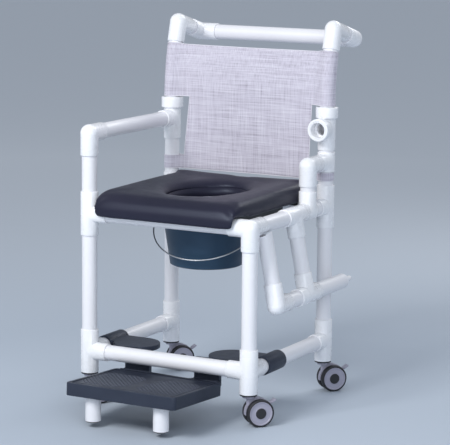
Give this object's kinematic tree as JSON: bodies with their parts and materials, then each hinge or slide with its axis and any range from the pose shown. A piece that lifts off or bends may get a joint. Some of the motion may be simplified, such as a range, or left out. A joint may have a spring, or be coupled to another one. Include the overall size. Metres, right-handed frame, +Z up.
{
  "type": "shower commode chair",
  "caption": "Wheeled shower commode chair of white plastic pipe with a padded open seat, mesh back sling, fold-down side arm, sliding footrest, pail and braked casters.",
  "frame": {"origin": "on the floor, under the middle of the bounding box", "axes": "+Z up, the sitter faces -Y, +X towards the drop-arm side (the sitter faces the viewer, so it is the sitter's left)"},
  "size_m": [0.5962, 0.8945, 1.0503],
  "materials": {
    "pvc": "smooth white furniture pipe and fittings, low gloss",
    "vinyl": "charcoal vinyl with a soft sheen",
    "mesh": "light grey linen-like woven mesh",
    "board": "dark moulded board",
    "black_plastic": "black moulded plastic",
    "pail": "dark slate plastic",
    "wire": "plain steel wire",
    "footrest": "charcoal moulded plastic, pebbled tread",
    "caster_grey": "grey moulded plastic",
    "tyre": "dark rubber"
  },
  "bodies": {
    "frame": {"base_corner_fittings": "pvc", "base_rear_tees": "pvc", "base_front_rail": "pvc", "base_side_rails": "pvc", "lower_posts": "pvc", "seat_left_fitting": "pvc", "seat_right_corner": "pvc", "seat_rear_tees": "pvc", "seat_cross_rails": "pvc", "seat_left_rail": "pvc", "seat_right_rail": "pvc", "left_arm_tubes": "pvc", "left_arm_elbow": "pvc", "left_arm_tee": "pvc", "arm_socket_tee": "pvc", "collars": "pvc", "rear_uprights": "pvc", "brace_tees": "pvc", "brace_elbow": "pvc", "brace_tubes": "pvc", "back_posts": "pvc", "handle_elbows": "pvc", "handle_tubes": "pvc", "sling": "mesh", "seat_pad": "vinyl", "seat_board": "board", "seat_clips": "black_plastic", "pail_rails": "black_plastic", "caster_inserts": "black_plastic"},
    "drop_arm": {"drop_arm_pivot_tee": "pvc", "drop_arm_lower_tee": "pvc", "drop_arm_elbow": "pvc", "drop_arm_legs": "pvc", "drop_arm_tubes": "pvc", "drop_arm_peg": "pvc"},
    "footrest": {"footrest": "footrest", "footrest_legs": "pvc", "footrest_plugs": "black_plastic"},
    "pail": {"pail": "pail"},
    "bail": {"bail": "wire"},
    "caster_fl": {"caster_fl_hood": "caster_grey"},
    "caster_fl_wheels": {"caster_fl_wheels": "caster_grey", "caster_fl_tyres": "tyre", "caster_fl_axle": "black_plastic"},
    "caster_fl_brake": {"caster_fl_brake": "caster_grey"},
    "caster_fr": {"caster_fr_hood": "caster_grey"},
    "caster_fr_wheels": {"caster_fr_wheels": "caster_grey", "caster_fr_tyres": "tyre", "caster_fr_axle": "black_plastic"},
    "caster_fr_brake": {"caster_fr_brake": "caster_grey"},
    "caster_rl": {"caster_rl_hood": "caster_grey"},
    "caster_rl_wheels": {"caster_rl_wheels": "caster_grey", "caster_rl_tyres": "tyre", "caster_rl_axle": "black_plastic"},
    "caster_rl_brake": {"caster_rl_brake": "caster_grey"},
    "caster_rr": {"caster_rr_hood": "caster_grey"},
    "caster_rr_wheels": {"caster_rr_wheels": "caster_grey", "caster_rr_tyres": "tyre", "caster_rr_axle": "black_plastic"},
    "caster_rr_brake": {"caster_rr_brake": "caster_grey"}
  },
  "joints": [
    {"name": "drop_arm_hinge", "type": "hinge", "parent": "frame", "child": "drop_arm", "pos_m": [0.2304, 0.0581, 0.533], "axis": [0, -1, 0], "range_deg": [0, 150]},
    {"name": "footrest_slide", "type": "slide", "parent": "frame", "child": "footrest", "axis": [0, 1, 0], "range_m": [0, 0.2]},
    {"name": "pail_slide", "type": "slide", "parent": "frame", "child": "pail", "axis": [0, 1, 0], "range_m": [0, 0.26]},
    {"name": "bail_hinge", "type": "hinge", "parent": "pail", "child": "bail", "pos_m": [-0.0181, 0.0202, 0.495], "axis": [-0.9848, -0.1736, 0], "range_deg": [0, 31]},
    {"name": "swivel_fl", "type": "hinge", "parent": "frame", "child": "caster_fl", "pos_m": [-0.2666, -0.19331, 0.085], "axis": [0, 0, 1], "continuous": true},
    {"name": "wheel_fl", "type": "hinge", "parent": "caster_fl", "child": "caster_fl_wheels", "pos_m": [-0.24786, -0.1725, 0.0375], "axis": [0.7431, -0.6691, 0], "continuous": true},
    {"name": "brake_fl", "type": "hinge", "parent": "caster_fl", "child": "caster_fl_brake", "pos_m": [-0.23083, -0.15358, 0.05467], "axis": [-0.7431, 0.6691, 0], "range_deg": [0, 25]},
    {"name": "swivel_fr", "type": "hinge", "parent": "frame", "child": "caster_fr", "pos_m": [0.2304, -0.19331, 0.085], "axis": [0, 0, 1], "continuous": true},
    {"name": "wheel_fr", "type": "hinge", "parent": "caster_fr", "child": "caster_fr_wheels", "pos_m": [0.24914, -0.1725, 0.0375], "axis": [0.7431, -0.6691, 0], "continuous": true},
    {"name": "brake_fr", "type": "hinge", "parent": "caster_fr", "child": "caster_fr_brake", "pos_m": [0.26617, -0.15358, 0.05467], "axis": [-0.7431, 0.6691, 0], "range_deg": [0, 25]},
    {"name": "swivel_rl", "type": "hinge", "parent": "frame", "child": "caster_rl", "pos_m": [-0.2666, 0.2577, 0.085], "axis": [0, 0, 1], "continuous": true},
    {"name": "wheel_rl", "type": "hinge", "parent": "caster_rl", "child": "caster_rl_wheels", "pos_m": [-0.24786, 0.2785, 0.0375], "axis": [0.7431, -0.6691, 0], "continuous": true},
    {"name": "brake_rl", "type": "hinge", "parent": "caster_rl", "child": "caster_rl_brake", "pos_m": [-0.23083, 0.29742, 0.05467], "axis": [-0.7431, 0.6691, 0], "range_deg": [0, 25]},
    {"name": "swivel_rr", "type": "hinge", "parent": "frame", "child": "caster_rr", "pos_m": [0.2304, 0.2577, 0.085], "axis": [0, 0, 1], "continuous": true},
    {"name": "wheel_rr", "type": "hinge", "parent": "caster_rr", "child": "caster_rr_wheels", "pos_m": [0.24914, 0.2785, 0.0375], "axis": [0.7431, -0.6691, 0], "continuous": true},
    {"name": "brake_rr", "type": "hinge", "parent": "caster_rr", "child": "caster_rr_brake", "pos_m": [0.26617, 0.29742, 0.05467], "axis": [-0.7431, 0.6691, 0], "range_deg": [0, 25]}
  ]
}
